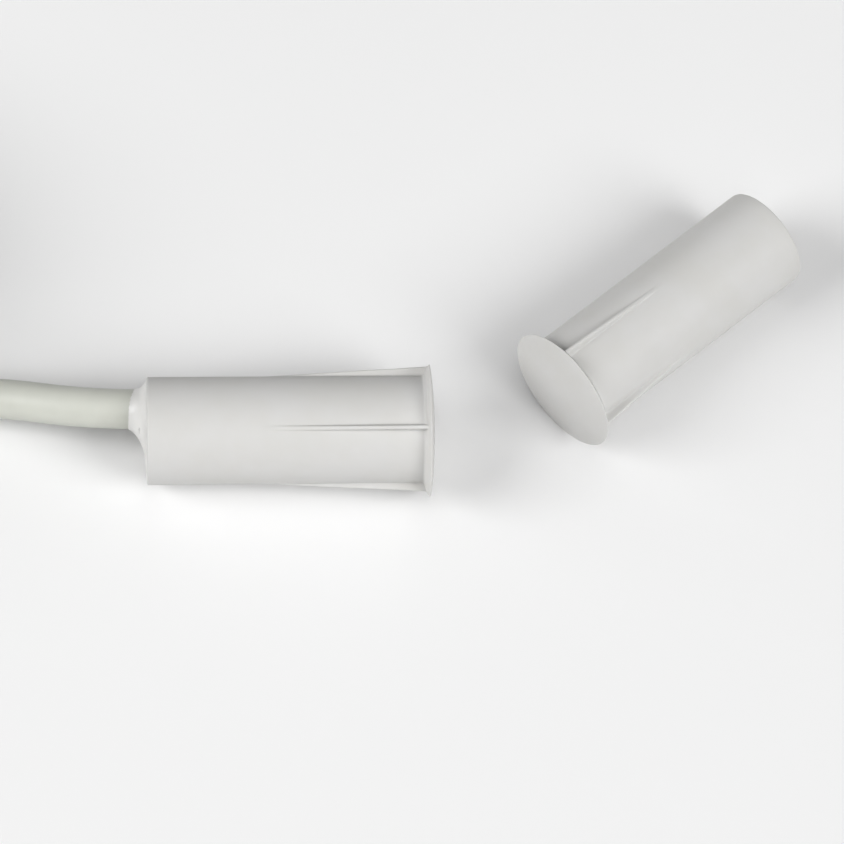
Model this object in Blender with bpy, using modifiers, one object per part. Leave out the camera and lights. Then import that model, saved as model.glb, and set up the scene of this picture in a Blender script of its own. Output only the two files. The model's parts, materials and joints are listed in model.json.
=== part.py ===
"""Recessed magnetic contact: a cabled reed-switch half and its magnet half.

Units are metres, +Z is up, and both halves lie on the plane z = 0 as they come
to rest: each touches it with the rim of its flange and with its rear rim.
The switch half's axis lies in the XZ plane's direction, its flange towards +X.
The cable leaves the rear of the switch half towards -X and is put away in a
tied hank, in line with the two halves.
"""

import math

import bmesh
import bpy
import numpy as np
from mathutils import Matrix, Vector

MM = 0.001

# ----------------------------------------------------------------- dimensions
# Both mouldings (millimetres)
SEAT_Z = 24.63          # rear rim to the underside of the flange
BORE_DEPTH = 24.0       # rear rim to the inner end of the bore
FLANGE_R = 5.85         # flange radius
FLANGE_FLAT_R = 5.40    # outer radius of the flat ring under the flange
FLANGE_RIM_Z = 0.43     # height of the rim's widest circle above the seat
DOME_EDGE_Z = 0.55      # height of the dome's edge above the seat
SW_DOME_RISE = 0.26     # rise of the domed face at its centre
MG_DOME_RISE = 0.60
RIM_ROUND = 0.16        # rounding of the rear rim
RIB_COUNT = 4
RIB_WIDTH = 0.50
# rib height above the barrel, against the distance behind the flange
RIB_PROFILE = [(14.0, 0.0), (10.2, 0.22), (6.7, 0.43), (3.1, 0.62), (0.0, 0.80)]

# Switch half
SW_R_REAR = 4.775       # barrel radius at the rear rim
SW_R_SEAT = 4.715       # barrel radius at the flange
SW_BORE_R = 4.08
SW_FLANGE_SHIFT = 0.14  # the flange sits this much off the barrel's axis
CABLE_R = 1.765         # cable radius (3.5 mm alarm cable)
CABLE_OFF = 1.98        # the cable leaves off the axis, next to the bore wall
JACKET_IN = 4.5         # how far the jacket reaches into the barrel

# Magnet half
MG_R_REAR = 4.67
MG_R_SEAT = 4.65
MG_BORE_R = 4.00
MAGNET_R = 2.5
MAGNET_Z = (3.3, 23.3)

GAP = 0.30              # clearance kept between neighbouring pieces

# Reed switch and wiring inside the switch half (local frame of the half)
REED_X = -1.60
REED_Z = (8.4, 21.6)
REED_GLASS_R = 1.10
REED_BORE_R = 0.80
LEAD_R = 0.25
CORE_R = 0.52
STRAND_R = 0.25
BEAD_R = 0.44

# Placement on the plane, before centring (millimetres, degrees)
CENTRE = (3.9389, 5.2743)
SW_REAR = (-24.809, -3.660)
SW_YAW = 0.0
SW_ROLL = 155.3         # where the cable side points, from the near horizontal
MG_REAR = (30.987, 16.714)
MG_YAW = 220.79
MG_ROLL = 79.9

# Hank of cable: racetrack turns, three side by side in each of four layers,
# drawn in at the middle by a tie
HANK_NEAR_X = -76.6     # centre of its end loops nearer to the switch half
HANK_RUN = 42.0         # from there to the centre of its far end loops
HANK_Y = 4.6
HANK_PITCH = 3.60       # from turn to turn
HANK_LAY = 3.56         # from layer to layer
HANK_R = (10.6, 14.2, 17.8)
HANK_PINCH = 6.6        # how far the tie draws each run in

STEPS = 64


# -------------------------------------------------------------------- helpers
for ob in list(bpy.data.objects):
    bpy.data.objects.remove(ob, do_unlink=True)

scene = bpy.context.scene
parts = bpy.data.collections.new("recessed_magnetic_contact")
cutters = bpy.data.collections.new("cutters")
scene.collection.children.link(parts)
scene.collection.children.link(cutters)


def material(name, colour, roughness, metallic=0.0, alpha=1.0):
    mat = bpy.data.materials.new(name)
    mat.use_nodes = True
    bsdf = mat.node_tree.nodes["Principled BSDF"]
    bsdf.inputs["Base Color"].default_value = (*colour, 1.0)
    bsdf.inputs["Roughness"].default_value = roughness
    bsdf.inputs["Metallic"].default_value = metallic
    bsdf.inputs["Alpha"].default_value = alpha
    return mat


def link(ob, mat=None, cutter=False, parent=None):
    (cutters if cutter else parts).objects.link(ob)
    if cutter:
        ob.hide_render = True
        ob.display_type = "WIRE"
    if mat is not None:
        ob.data.materials.clear()
        ob.data.materials.append(mat)
    if parent is not None:
        ob.parent = parent
    return ob


def smooth(ob, angle=35.0):
    ob.data.shade_smooth()
    ob.data.set_sharp_from_angle(angle=math.radians(angle))


def turned(name, profile, steps=STEPS, closed=False, mat=None, cutter=False, parent=None):
    """Turn a profile of (radius, height) in mm about local Z."""
    me = bpy.data.meshes.new(name)
    verts = [(r * MM, 0.0, z * MM) for r, z in profile]
    n = len(verts)
    edges = [(i, i + 1) for i in range(n - 1)] + ([(n - 1, 0)] if closed else [])
    me.from_pydata(verts, edges, [])
    ob = bpy.data.objects.new(name, me)
    link(ob, mat, cutter, parent)
    mod = ob.modifiers.new("turn", "SCREW")
    mod.axis = "Z"
    mod.angle = 2.0 * math.pi
    mod.steps = steps
    mod.render_steps = steps
    mod.use_merge_vertices = True
    mod.merge_threshold = 0.000001
    mod.use_smooth_shade = True
    return ob


def to_mesh(ob, weld=True):
    """Replace a curve object by its evaluated mesh."""
    bpy.context.view_layer.update()
    deps = bpy.context.evaluated_depsgraph_get()
    me = bpy.data.meshes.new_from_object(ob.evaluated_get(deps))
    if weld:
        bm = bmesh.new()
        bm.from_mesh(me)
        bmesh.ops.remove_doubles(bm, verts=bm.verts, dist=0.000001)
        bm.to_mesh(me)
        bm.free()
    name = ob.name
    col = ob.users_collection[0]
    new = bpy.data.objects.new(name + "_m", me)
    col.objects.link(new)
    new.parent = ob.parent
    new.matrix_basis = ob.matrix_basis.copy()
    new.hide_render = ob.hide_render
    new.display_type = ob.display_type
    bpy.data.objects.remove(ob, do_unlink=True)
    new.name = name
    return new


def tube(name, points, radius, res=2, mat=None, cutter=False, parent=None):
    """A round wire through points (mm) as a bevelled poly curve with caps."""
    cu = bpy.data.curves.new(name, "CURVE")
    cu.dimensions = "3D"
    sp = cu.splines.new("POLY")
    sp.points.add(len(points) - 1)
    for p, co in zip(sp.points, points):
        p.co = (co[0] * MM, co[1] * MM, co[2] * MM, 1.0)
    cu.bevel_depth = radius * MM
    cu.bevel_resolution = res
    cu.use_fill_caps = True
    cu.fill_mode = "FULL"
    ob = bpy.data.objects.new(name, cu)
    return link(ob, mat, cutter, parent)


def boolean(ob, other, operation="DIFFERENCE", collection=None):
    mod = ob.modifiers.new(operation.lower(), "BOOLEAN")
    mod.operation = operation
    mod.solver = "EXACT"
    if collection is not None:
        mod.operand_type = "COLLECTION"
        mod.collection = collection
    else:
        mod.object = other
    return mod


def smooth_path(points, count):
    """Points evenly spaced along a smooth curve through the given points."""
    P = np.array(points, dtype=float)
    d = np.linalg.norm(np.diff(P, axis=0), axis=1)
    t = np.concatenate([[0.0], np.cumsum(np.sqrt(d))])
    # natural cubic spline through each coordinate
    n = len(P)
    h = np.diff(t)
    A = np.zeros((n, n))
    b = np.zeros((n, P.shape[1]))
    A[0, 0] = A[-1, -1] = 1.0
    for i in range(1, n - 1):
        A[i, i - 1] = h[i - 1]
        A[i, i] = 2.0 * (h[i - 1] + h[i])
        A[i, i + 1] = h[i]
        b[i] = 3.0 * ((P[i + 1] - P[i]) / h[i] - (P[i] - P[i - 1]) / h[i - 1])
    c = np.linalg.solve(A, b)
    out = []
    for s in np.linspace(0.0, t[-1], 800):
        i = min(int(np.searchsorted(t, s, side="right")) - 1, n - 2)
        u = s - t[i]
        bb = (P[i + 1] - P[i]) / h[i] - h[i] * (2.0 * c[i] + c[i + 1]) / 3.0
        dd = (c[i + 1] - c[i]) / (3.0 * h[i])
        out.append(P[i] + bb * u + c[i] * u * u + dd * u ** 3)
    Q = np.array(out)
    L = np.concatenate([[0.0], np.cumsum(np.linalg.norm(np.diff(Q, axis=0), axis=1))])
    s = np.linspace(0.0, L[-1], count)
    return [tuple(float(np.interp(v, L, Q[:, k])) for k in range(3)) for v in s]


# ------------------------------------------------------------------ materials
WHITE = material("white_abs", (0.80, 0.80, 0.77), 0.42)
RESIN = material("potting_resin", (0.78, 0.78, 0.74), 0.35)
JACKET = material("cable_jacket", (0.74, 0.75, 0.69), 0.45)
GLASS = material("reed_glass", (0.55, 0.75, 0.60), 0.05, alpha=0.4)
REED = material("nickel_iron", (0.62, 0.60, 0.56), 0.30, metallic=1.0)
TIN = material("tinned_copper", (0.72, 0.72, 0.70), 0.28, metallic=1.0)
SOLDER = material("solder", (0.65, 0.65, 0.66), 0.25, metallic=1.0)
MAGNET = material("magnet", (0.30, 0.30, 0.31), 0.35, metallic=1.0)
TIE = material("tie_nylon", (0.82, 0.81, 0.77), 0.45)
CORE = {
    "white": material("core_white", (0.85, 0.85, 0.83), 0.40),
    "brown": material("core_brown", (0.23, 0.12, 0.06), 0.40),
    "green": material("core_green", (0.05, 0.36, 0.12), 0.40),
    "yellow": material("core_yellow", (0.85, 0.68, 0.05), 0.40),
}


# -------------------------------------------------------------- frames
def half_frame(name, rear, yaw, roll, r_rear, flange_shift):
    """An empty whose Z runs from the rear rim to the flange and whose X is the
    cable (or first rib) side. The half rests on the rims of both ends."""
    ro = math.radians(roll)
    span = SEAT_Z + FLANGE_RIM_Z
    # the flange's centre may sit off the axis, which changes the tip slightly
    drop = flange_shift * math.sin(ro)
    tip = math.atan2(FLANGE_R + drop - r_rear, span)
    ya = math.radians(yaw)
    a = Vector((math.cos(tip) * math.cos(ya), math.cos(tip) * math.sin(ya), math.sin(tip)))
    h = a.cross(Vector((0, 0, 1))).normalized()
    w = h.cross(a)
    x = math.cos(ro) * h + math.sin(ro) * w
    y = a.cross(x)
    z0 = r_rear * math.cos(tip)
    m = Matrix((
        (x.x, y.x, a.x, (rear[0] - CENTRE[0]) * MM),
        (x.y, y.y, a.y, (rear[1] - CENTRE[1]) * MM),
        (x.z, y.z, a.z, z0 * MM),
        (0, 0, 0, 1)))
    e = bpy.data.objects.new(name, None)
    e.empty_display_size = 0.01
    e.matrix_world = m
    parts.objects.link(e)
    return e


sw = half_frame("switch_frame", SW_REAR, SW_YAW, SW_ROLL, SW_R_REAR, SW_FLANGE_SHIFT)
mg = half_frame("magnet_frame", MG_REAR, MG_YAW, MG_ROLL, MG_R_REAR, 0.0)
bpy.context.view_layer.update()


# -------------------------------------------------------------- housings
def housing(name, r_rear, r_seat, r_bore, shift, rise, parent):
    """Barrel with a blind bore, a domed flange and crush ribs: one moulding."""
    rr = RIM_ROUND
    top = SEAT_Z + 0.30
    barrel = [(0.0, top), (r_seat, top), (r_seat, SEAT_Z), (r_rear, rr)]
    for k in range(1, 4):
        t = math.radians(90.0 * k / 3)
        barrel.append((r_rear - rr + rr * math.cos(t), rr - rr * math.sin(t)))
    barrel += [(r_bore, 0.0), (r_bore, BORE_DEPTH - 0.4),
               (r_bore - 0.4, BORE_DEPTH), (0.0, BORE_DEPTH)]
    body = turned(name, barrel, mat=WHITE, parent=parent)

    disc = [(0.0, DOME_EDGE_Z + rise)]
    # spherical dome through the edge circle
    edge = FLANGE_R - 0.12
    R = (edge ** 2 + rise ** 2) / (2 * rise)
    for k in range(1, 6):
        r = edge * k / 5
        disc.append((r, DOME_EDGE_Z + rise - (R - math.sqrt(R * R - r * r))))
    disc += [(FLANGE_R - 0.03, FLANGE_RIM_Z + 0.10), (FLANGE_R, FLANGE_RIM_Z),
             (FLANGE_R - 0.04, FLANGE_RIM_Z - 0.09), (FLANGE_FLAT_R, 0.0), (0.0, 0.0)]
    disc = [(r, z + SEAT_Z) for r, z in disc]
    fl = turned(name + "_flange", disc, cutter=True, parent=parent)
    fl.location = (-shift * MM, 0, 0)
    boolean(body, fl, "UNION")

    for k in range(RIB_COUNT):
        me = bpy.data.meshes.new(name + "_rib")
        bm = bmesh.new()
        prof = []
        for s, hgt in RIB_PROFILE:
            z = SEAT_Z - s
            r = r_rear + (r_seat - r_rear) * z / SEAT_Z
            prof.append((r + hgt - (0.06 if hgt == 0.0 else 0.0), z))
        prof.append((r_seat + RIB_PROFILE[-1][1], SEAT_Z + 0.12))
        prof.append((r_seat - 0.32, SEAT_Z + 0.12))
        prof.append((r_seat - 0.32, SEAT_Z - RIB_PROFILE[0][0]))
        vs = [bm.verts.new((r * MM, 0.0, z * MM)) for r, z in prof]
        bm.faces.new(vs)
        bm.to_mesh(me)
        bm.free()
        rib = bpy.data.objects.new(f"{name}_rib_{k}", me)
        link(rib, cutter=True, parent=parent)
        rib.rotation_euler = (0, 0, 2 * math.pi * k / RIB_COUNT + 1e-4)
        so = rib.modifiers.new("width", "SOLIDIFY")
        so.thickness = RIB_WIDTH * MM
        so.offset = 0.0
        boolean(body, rib, "UNION")
    smooth(body)
    return body


housing("switch_housing", SW_R_REAR, SW_R_SEAT, SW_BORE_R, SW_FLANGE_SHIFT, SW_DOME_RISE, sw)
housing("magnet_housing", MG_R_REAR, MG_R_SEAT, MG_BORE_R, 0.0, MG_DOME_RISE, mg)


# -------------------------------------------------------------- magnet half
rod = bpy.data.meshes.new("magnet_rod")
bm = bmesh.new()
bmesh.ops.create_cone(bm, cap_ends=True, segments=40, radius1=MAGNET_R * MM,
                      radius2=MAGNET_R * MM, depth=(MAGNET_Z[1] - MAGNET_Z[0]) * MM)
bm.to_mesh(rod)
bm.free()
rod = link(bpy.data.objects.new("magnet_rod", rod), MAGNET, parent=mg)
rod.location = (0, 0, (MAGNET_Z[0] + MAGNET_Z[1]) / 2 * MM)
bv = rod.modifiers.new("edge", "BEVEL")
bv.width = 0.25 * MM
bv.segments = 2
bv.limit_method = "ANGLE"
bv.angle_limit = math.radians(60)
smooth(rod, 50)

pr = MG_BORE_R - GAP
well = MAGNET_R + GAP
turned("magnet_potting", [
    (well, BORE_DEPTH - 0.55), (pr - 0.2, BORE_DEPTH - 0.55), (pr, BORE_DEPTH - 0.8),
    (pr, 0.30), (pr - 0.5, 0.42), (pr * 0.55, 0.55), (0.0, 0.60)], mat=RESIN, parent=mg)
# the resin's well for the magnet runs up to its open front end
pot_m = bpy.data.objects["magnet_potting"]
me = pot_m.data
me.clear_geometry()
prof = [(0.0, MAGNET_Z[0] - GAP), (well, MAGNET_Z[0] - GAP), (well, BORE_DEPTH - 0.55),
        (pr - 0.2, BORE_DEPTH - 0.55), (pr, BORE_DEPTH - 0.8), (pr, 0.30),
        (pr - 0.5, 0.42), (pr * 0.55, 0.55), (0.0, 0.60)]
me.from_pydata([(r * MM, 0.0, z * MM) for r, z in prof], [(i, i + 1) for i in range(len(prof) - 1)], [])
smooth(pot_m)


# -------------------------------------------------------------- reed switch
z0, z1 = REED_Z
neck = 0.45
hole = LEAD_R + 0.25
turned("reed_glass", [
    (hole, z1), (hole + 0.20, z1), (REED_GLASS_R * 0.90, z1 - 0.22), (REED_GLASS_R, z1 - 0.65),
    (REED_GLASS_R, z0 + 0.65), (REED_GLASS_R * 0.90, z0 + 0.22), (hole + 0.20, z0), (hole, z0),
    (hole, z0 + 0.9), (REED_BORE_R, z0 + 1.5), (REED_BORE_R, z1 - 1.5), (hole, z1 - 0.9)],
    steps=32, closed=True, mat=GLASS, parent=sw)
glass = bpy.data.objects["reed_glass"]
glass.location = (REED_X * MM, 0, 0)
smooth(glass)


def blade(name, side, za, zb, lead_points):
    """A flat contact tongue that runs out into a round lead, in one piece."""
    me = bpy.data.meshes.new(name)
    bm = bmesh.new()
    bmesh.ops.create_cube(bm, size=1.0)
    bm.to_mesh(me)
    bm.free()
    ob = link(bpy.data.objects.new(name, me), REED, parent=sw)
    me.transform(Matrix.Diagonal((0.20 * MM, 0.80 * MM, abs(zb - za) * MM, 1.0)))
    ob.location = ((REED_X + side * 0.25) * MM, 0, (za + zb) / 2 * MM)
    lead = to_mesh(tube(name + "_lead", lead_points, LEAD_R, cutter=True, parent=sw))
    boolean(ob, lead, "UNION")
    smooth(ob)
    return ob


SOLDER_FRONT = (1.25, 0.75, 22.55)
SOLDER_REAR = (REED_X, 0.0, 6.55)
SOLDER_TAMPER = (2.35, 0.0, 11.3)

front_lead = [(REED_X, 0, z1 - 2.2), (REED_X, 0, z1 + 0.35), (REED_X + 0.10, 0.03, z1 + 0.68),
              (REED_X + 0.40, 0.11, z1 + 0.90), (REED_X + 0.8, 0.22, z1 + 0.95),
              (0.57, 0.57, z1 + 0.95)]
rear_lead = [(REED_X, 0, z0 + 2.2), (REED_X, 0, 7.27)]
blade("reed_blade_front", +1, 14.2, z1 - 1.8, front_lead)
blade("reed_blade_rear", -1, z0 + 1.8, 16.0, rear_lead)


def bead(name, centre, radius, mat=SOLDER, cutter=False):
    me = bpy.data.meshes.new(name)
    bm = bmesh.new()
    bmesh.ops.create_uvsphere(bm, u_segments=16, v_segments=10, radius=radius * MM)
    bm.to_mesh(me)
    bm.free()
    ob = link(bpy.data.objects.new(name, me), None if cutter else mat, cutter, parent=sw)
    ob.location = [c * MM for c in centre]
    ob.data.shade_smooth()
    return ob


bead("solder_front", SOLDER_FRONT, BEAD_R)
bead("solder_rear", SOLDER_REAR, BEAD_R)
bead("solder_tamper", SOLDER_TAMPER, BEAD_R)

# insulated cores inside the barrel, each from the jacket's end to its joint
ZS = JACKET_IN + GAP
core_paths = {
    "signal_front": ("white", smooth_path([(1.28, 0.70, ZS), (1.27, 0.72, 9.0), (1.25, 0.75, 15.0),
                                           (1.25, 0.75, 20.6)], 9),
                     [(1.25, 0.75, 20.9), (1.25, 0.75, 21.85)]),
    "signal_rear": ("brown", smooth_path([(1.28, -0.70, ZS), (1.12, -0.72, 5.35), (0.55, -0.66, 6.05),
                                          (0.05, -0.45, 6.35)], 8),
                    [(-0.22, -0.35, 6.44), (-0.90, -0.12, 6.52)]),
    "tamper_1": ("green", smooth_path([(2.66, 0.72, ZS), (2.66, 0.74, 6.5), (2.62, 0.78, 8.8)], 7),
                 [(2.58, 0.70, 9.2), (2.42, 0.30, 10.62)]),
    "tamper_2": ("yellow", smooth_path([(2.66, -0.72, ZS), (2.66, -0.74, 6.5), (2.62, -0.78, 8.8)], 7),
                 [(2.58, -0.70, 9.2), (2.42, -0.30, 10.62)]),
}
for key, (colour, path, strand) in core_paths.items():
    tube("core_" + key, path, CORE_R, mat=CORE[colour], parent=sw)
    tube("strand_" + key, strand, STRAND_R, mat=TIN, parent=sw)


# -------------------------------------------------------------- resin in the switch half
def loft(name, sections, n=48, mat=None, cutter=False, parent=None):
    """A closed loft through circles (centre x, radius, height) in mm."""
    bm = bmesh.new()
    rings = []
    for cx, r, z in sections:
        rings.append([bm.verts.new(((cx + r * math.cos(2 * math.pi * k / n)) * MM,
                                    r * math.sin(2 * math.pi * k / n) * MM, z * MM))
                      for k in range(n)])
    for a, b in zip(rings[:-1], rings[1:]):
        for k in range(n):
            bm.faces.new((a[k], a[(k + 1) % n], b[(k + 1) % n], b[k]))
    bm.faces.new(list(reversed(rings[0])))
    bm.faces.new(rings[-1])
    bmesh.ops.recalc_face_normals(bm, faces=bm.faces)
    me = bpy.data.meshes.new(name)
    bm.to_mesh(me)
    bm.free()
    return link(bpy.data.objects.new(name, me), mat, cutter, parent)


pr = SW_BORE_R - GAP
potting = loft("switch_potting", [
    (1.62, 2.34, -1.15), (1.42, 2.55, -0.72), (1.02, 2.95, -0.35), (0.45, 3.40, -0.12),
    (0.0, pr, 0.04), (0.0, pr, BORE_DEPTH - 0.75), (0.0, pr - 0.25, BORE_DEPTH - 0.5)],
    mat=RESIN, parent=sw)

space = bpy.data.collections.new("resin_space")
cutters.children.link(space)


def into_space(ob):
    cutters.objects.unlink(ob)
    space.objects.link(ob)


fat = GAP
into_space(turned("space_cable", [(0, JACKET_IN + fat), (CABLE_R + fat, JACKET_IN + fat),
                                  (CABLE_R + fat, -3.0), (0, -3.0)], steps=40, cutter=True, parent=sw))
bpy.data.objects["space_cable"].location = (CABLE_OFF * MM, 0, 0)
into_space(turned("space_reed", [(0, z1 + fat), (REED_GLASS_R + fat, z1 + fat),
                                 (REED_GLASS_R + fat, z0 - fat), (0, z0 - fat)],
                  steps=24, cutter=True, parent=sw))
bpy.data.objects["space_reed"].location = (REED_X * MM, 0, 0)
into_space(to_mesh(tube("space_rear_lead", [(REED_X, 0, z0 + 1), (REED_X, 0, 6.6)], LEAD_R + fat,
                        cutter=True, parent=sw)))
into_space(to_mesh(tube("space_front_lead", front_lead[1:-1] + [(0.9, 0.66, z1 + 0.95)],
                        LEAD_R + fat, cutter=True, parent=sw)))
for nm, c in (("front", SOLDER_FRONT), ("rear", SOLDER_REAR), ("tamper", SOLDER_TAMPER)):
    into_space(bead("space_bead_" + nm, c, BEAD_R + fat, cutter=True))
for key, (colour, path, strand) in core_paths.items():
    first = np.array(path[0])
    start = tuple(first - np.array([0, 0, 0.5]))
    goal = {"signal_front": SOLDER_FRONT, "signal_rear": SOLDER_REAR,
            "tamper_1": SOLDER_TAMPER, "tamper_2": SOLDER_TAMPER}[key]
    pts = [start] + list(path[::2]) + [tuple(np.array(path[-1]) + 0.6 * (np.array(strand[0]) - np.array(path[-1])))]
    into_space(to_mesh(tube("space_core_" + key, pts, CORE_R + fat, cutter=True, parent=sw)))
    into_space(to_mesh(tube("space_strand_" + key, [path[-1], strand[0], strand[1], goal],
                            STRAND_R + fat, cutter=True, parent=sw)))
boolean(potting, None, "DIFFERENCE", collection=space)
weld = potting.modifiers.new("weld", "WELD")
weld.merge_threshold = 0.000002
smooth(potting)


# -------------------------------------------------------------- cable
def world(local, frame):
    v = frame.matrix_world @ Vector([c * MM for c in local])
    return (v.x / MM, v.y / MM, v.z / MM)


inner = world((CABLE_OFF, 0, JACKET_IN), sw)
rear_pt = world((CABLE_OFF, 0, 0.0), sw)
exit_pt = world((CABLE_OFF, 0, -2.2), sw)
ground = CABLE_R + 0.045
r_out = HANK_R[-1] + CABLE_R + 0.035        # outside of the hank's end loops
top_z = ground + 3 * HANK_LAY + CABLE_R + 0.035
far_x = HANK_NEAR_X - HANK_RUN
mid_x = HANK_NEAR_X - HANK_RUN / 2

# The free stretch: straight out of the resin, down to the plane, then along it
# to where it slips under the hank's end loops. Offsets from the exit.
lead_route = [inner, rear_pt, exit_pt] + [
    (exit_pt[0] + dx, exit_pt[1] + dy, z) for dx, dy, z in (
        (-4.6, 0.50, exit_pt[2] - 0.55), (-9.4, 1.57, exit_pt[2] - 1.60), (-14.6, 2.40, ground + 0.75),
        (-20.0, 2.05, ground + 0.05), (-26.0, 0.30, ground + 0.01), (-32.0, -2.35, ground),
        (-38.5, -5.00, ground))] + [(HANK_NEAR_X, HANK_Y - HANK_R[-1], ground)]
LEAD_POINTS = [p for p in smooth_path(lead_route, 30)
               if math.hypot(p[0] - HANK_NEAR_X, p[1] - HANK_Y) > r_out + GAP + 1.25 or p[0] > -50.0]
tube("cable_lead", LEAD_POINTS, CABLE_R, mat=JACKET)


# The hank's outer shape: an extruded outline with round ends and a waist
def run_y(r, x):
    """Distance of a run from the hank's middle line at x."""
    u = abs(x - mid_x) / (HANK_RUN / 2)
    return r - HANK_PINCH * (1.0 + math.cos(math.pi * min(1.0, u))) / 2


def hank_outline(r):
    pts = []
    for k in range(16):
        x = HANK_NEAR_X - HANK_RUN * k / 16
        pts.append((x, HANK_Y - run_y(r, x)))
    for k in range(24):
        t = math.pi * k / 24
        pts.append((far_x - r * math.sin(t), HANK_Y - r * math.cos(t)))
    for k in range(16):
        x = far_x + HANK_RUN * k / 16
        pts.append((x, HANK_Y + run_y(r, x)))
    for k in range(24):
        t = math.pi * k / 24
        pts.append((HANK_NEAR_X + r * math.sin(t), HANK_Y + r * math.cos(t)))
    return pts


cu = bpy.data.curves.new("cable_hank", "CURVE")
cu.dimensions = "2D"
cu.fill_mode = "BOTH"
cu.extrude = top_z / 2 * MM
sp = cu.splines.new("POLY")
outline = hank_outline(r_out)
sp.points.add(len(outline) - 1)
for p, co in zip(sp.points, outline):
    p.co = (co[0] * MM, co[1] * MM, 0, 1)
sp.use_cyclic_u = True
hank = link(bpy.data.objects.new("cable_hank", cu), JACKET)
hank.location = (0, 0, (top_z / 2 + 0.005) * MM)
hank = to_mesh(hank)
bv = hank.modifiers.new("edge", "BEVEL")
bv.width = 1.1 * MM
bv.segments = 2
bv.limit_method = "ANGLE"
bv.angle_limit = math.radians(60)

# The far end: up onto the near end loops and over to the hank's -Y side
tail_z = top_z + 0.01 + GAP + CABLE_R + 0.03
tail_route = []
for deg, r in ((68.0, 15.6), (40.0, 14.4), (8.0, 13.0), (-25.0, 12.4), (-55.0, 12.3), (-80.0, 12.3)):
    t = math.radians(deg)
    tail_route.append((HANK_NEAR_X + r * math.cos(t), HANK_Y + r * math.sin(t), tail_z))
tail_route.append((HANK_NEAR_X - 0.6, HANK_Y - 12.3, tail_z))
TAIL_POINTS = smooth_path(tail_route, 14)
tube("cable_tail", TAIL_POINTS, CABLE_R, mat=JACKET)

# Four stripped cores with tinned tips, fanned out on the hank's top
end = np.array(TAIL_POINTS[-1])
rc_end = 0.55
low = top_z + 0.01 + GAP + rc_end + 0.03
for colour, dy, dz, to_y in (("white", 0.72, 0.72, 8.6), ("brown", 0.72, -0.72, 6.2),
                             ("green", -0.72, -0.72, 3.8), ("yellow", -0.72, 0.72, 1.2)):
    s = end + np.array([-0.45, dy, dz])
    route = [tuple(s), (s[0] - 1.8, s[1] + 0.10 * to_y, s[2] - 0.10),
             (s[0] - 5.2, s[1] + 0.48 * to_y, low + (0.50 if dz > 0 else 0.02)),
             (s[0] - 8.6, s[1] + 0.83 * to_y, low), (s[0] - 11.8, s[1] + to_y, low)]
    pts = smooth_path(route, 11)
    tube("end_core_" + colour, pts, rc_end, mat=CORE[colour])
    p1, p0 = np.array(pts[-1]), np.array(pts[-2])
    u = (p1 - p0) / np.linalg.norm(p1 - p0)
    a = p1 + u * GAP
    tube("end_tip_" + colour, [tuple(a), tuple(a + u * 2.0), tuple(a + u * 4.0)], 0.30, mat=TIN)


# -------------------------------------------------------------- tie round the hank
TIE_W = 2.5
TIE_T = 0.75
WAIST = HANK_R[-1] - HANK_PINCH + CABLE_R     # half width of the drawn-in bundle


def tie_outline(grow):
    """Closed outline round the bundle in its section plane, in mm."""
    pts = []
    a, b, zm = WAIST - 0.35, 6.95, 7.80
    for k in range(40):
        t = 2 * math.pi * k / 40
        c, s = math.cos(t), math.sin(t)
        e = 2.0 / 3.4
        pts.append((math.copysign(abs(c) ** e, c) * (a + grow), zm + math.copysign(abs(s) ** e, s) * (b + grow)))
    return pts


def flat_ring(name, outer, inner_loop, width, mat=None, cutter=False):
    cu = bpy.data.curves.new(name, "CURVE")
    cu.dimensions = "2D"
    cu.fill_mode = "BOTH"
    cu.extrude = width / 2 * MM
    for loop in (outer, inner_loop):
        sp = cu.splines.new("POLY")
        sp.points.add(len(loop) - 1)
        for p, co in zip(sp.points, loop):
            p.co = (co[0] * MM, co[1] * MM, 0, 1)
        sp.use_cyclic_u = True
    ob = bpy.data.objects.new(name, cu)
    link(ob, mat, cutter)
    # local x is across the hank, local y is up, local z is along the runs
    ob.matrix_world = Matrix((
        (0, 0, 1, mid_x * MM), (1, 0, 0, HANK_Y * MM), (0, 1, 0, 0), (0, 0, 0, 1)))
    return ob


tie = to_mesh(flat_ring("hank_tie", tie_outline(TIE_T), tie_outline(0.0), TIE_W, mat=TIE))
groove = to_mesh(flat_ring("tie_groove", tie_outline(TIE_T + 3.5), tie_outline(-GAP), 4.2 + 2 * GAP, cutter=True))
boolean(hank, groove, "DIFFERENCE")
smooth(hank, 50)

# the tie's head, on the hank's +Y side
head_me = bpy.data.meshes.new("tie_head")
bm = bmesh.new()
bmesh.ops.create_cube(bm, size=1.0)
bm.to_mesh(head_me)
bm.free()
head_me.transform(Matrix.Diagonal((4.2 * MM, 2.6 * MM, 4.0 * MM, 1.0)))
head = link(bpy.data.objects.new("tie_head", head_me), cutter=True)
head.location = (mid_x * MM, (HANK_Y + WAIST - 0.35 + TIE_T + 1.0) * MM, 7.6 * MM)
boolean(tie, head, "UNION")
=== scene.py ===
"""Looks of the recessed magnetic contact: its cabled reed-switch half and its
magnet half, lying side by side on a pale floor.

Lengths in this file are millimetres until a mesh or curve is made.
"""

import json
import math

import bmesh
import bpy
import numpy as np
from mathutils import Matrix, Vector

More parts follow.
